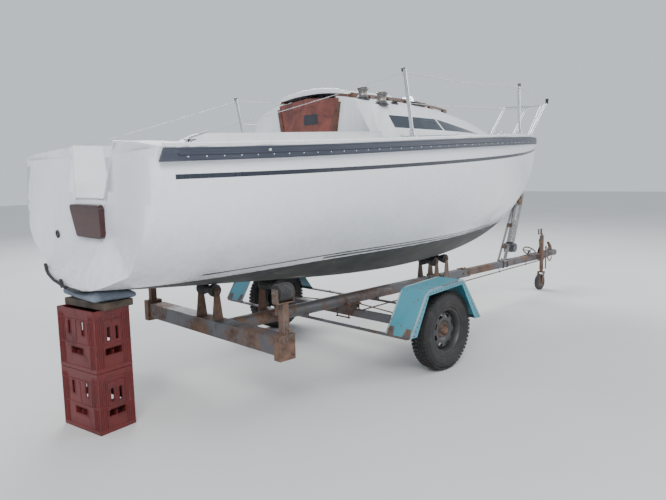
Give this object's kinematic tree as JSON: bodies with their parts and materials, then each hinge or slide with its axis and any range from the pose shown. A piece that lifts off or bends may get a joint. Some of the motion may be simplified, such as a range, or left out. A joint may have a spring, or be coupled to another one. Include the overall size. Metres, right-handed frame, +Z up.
{
  "type": "small cabin sailing boat on its road trailer",
  "caption": "Small cabin sailing boat on its road trailer, with cockpit, sliding hatch, lift-out door board, turning wheels and a swivelling jockey wheel.",
  "frame": {"origin": "middle of the whole, on the ground", "axes": "+X towards the bow and the trailer coupling, +Y to port, +Z up"},
  "size_m": [6.3612, 2.19, 2.284],
  "materials": {
    "gelcoat": "glossy, a little chalky",
    "rail_rubber": "matt",
    "smoked_acrylic": "glossy",
    "mahogany": "varnished",
    "teak": "oiled",
    "winch_metal": "polished",
    "stainless": "polished",
    "pad_wood": "varnished",
    "trailer_steel": "galvanised, dull",
    "rusty_steel": "rusted",
    "roller_rubber": "matt",
    "tyre": "matt",
    "rim_paint": "satin",
    "guard_paint": "satin",
    "crate_plastic": "faded",
    "timber": "weathered",
    "pad_foam": "matt"
  },
  "bodies": {
    "boat_on_trailer": {"bow_band": "stainless", "bow_stop": "roller_rubber", "brake_lever": "rusty_steel", "brake_rod": "rusty_steel", "cockpit_tub": "gelcoat", "coupling_head": "trailer_steel", "coupling_lever": "rusty_steel", "crate_lower": "crate_plastic", "crate_upper": "crate_plastic", "deck": "gelcoat", "drawbar": "trailer_steel", "grab_rail_port": "teak", "grab_rail_starboard": "teak", "halyard_winches": "winch_metal", "hatch_runners": "teak", "hull": "gelcoat", "jockey_tube": "trailer_steel", "keel_roller_brackets": "rusty_steel", "keel_rollers": "roller_rubber", "mast_step": "stainless", "motor_pad": "pad_wood", "mudguard_port": "guard_paint", "mudguard_starboard": "guard_paint", "pulpit": "stainless", "rub_rail": "rail_rubber", "side_post_port": "rusty_steel", "side_post_starboard": "rusty_steel", "side_roller_port": "roller_rubber", "side_roller_starboard": "roller_rubber", "stanchions_port": "stainless", "stanchions_starboard": "stainless", "stern_pad": "pad_foam", "timber_packers": "timber", "trailer_frame": "trailer_steel", "trailer_winch": "trailer_steel", "washboard_strips": "teak", "winch_post": "rusty_steel", "window_fore_port": "smoked_acrylic", "window_fore_starboard": "smoked_acrylic", "window_main_port": "smoked_acrylic", "window_main_starboard": "smoked_acrylic"},
    "wheel_starboard": {"tyre_starboard": "tyre", "wheel_rim_starboard": "rim_paint"},
    "wheel_port": {"tyre_port": "tyre", "wheel_rim_port": "rim_paint"},
    "jockey_swivel": {"jockey_fork": "rusty_steel"},
    "jockey_roller": {"jockey_wheel": "roller_rubber"},
    "door_board": {"washboard": "mahogany"},
    "hatch": {"sliding_hatch": "gelcoat"}
  },
  "joints": [
    {"name": "wheel_starboard_spin", "type": "hinge", "parent": "boat_on_trailer", "child": "wheel_starboard", "pos_m": [-0.7674, -0.985, 0.3], "axis": [0, 1, 0], "continuous": true},
    {"name": "wheel_port_spin", "type": "hinge", "parent": "boat_on_trailer", "child": "wheel_port", "pos_m": [-0.7674, 0.985, 0.3], "axis": [0, 1, 0], "continuous": true},
    {"name": "jockey_swivel", "type": "hinge", "parent": "boat_on_trailer", "child": "jockey_swivel", "pos_m": [2.6726, -0.078, 0.3], "axis": [0, 0, 1], "continuous": true},
    {"name": "jockey_wheel_spin", "type": "hinge", "parent": "jockey_swivel", "child": "jockey_roller", "pos_m": [2.6346, -0.078, 0.099], "axis": [0, 1, 0], "continuous": true},
    {"name": "washboard_lift", "type": "slide", "parent": "boat_on_trailer", "child": "door_board", "axis": [0, 0, 1], "range_m": [0, 0.42]},
    {"name": "hatch_slide", "type": "slide", "parent": "boat_on_trailer", "child": "hatch", "axis": [1, 0, 0], "range_m": [0, 0.48]}
  ]
}
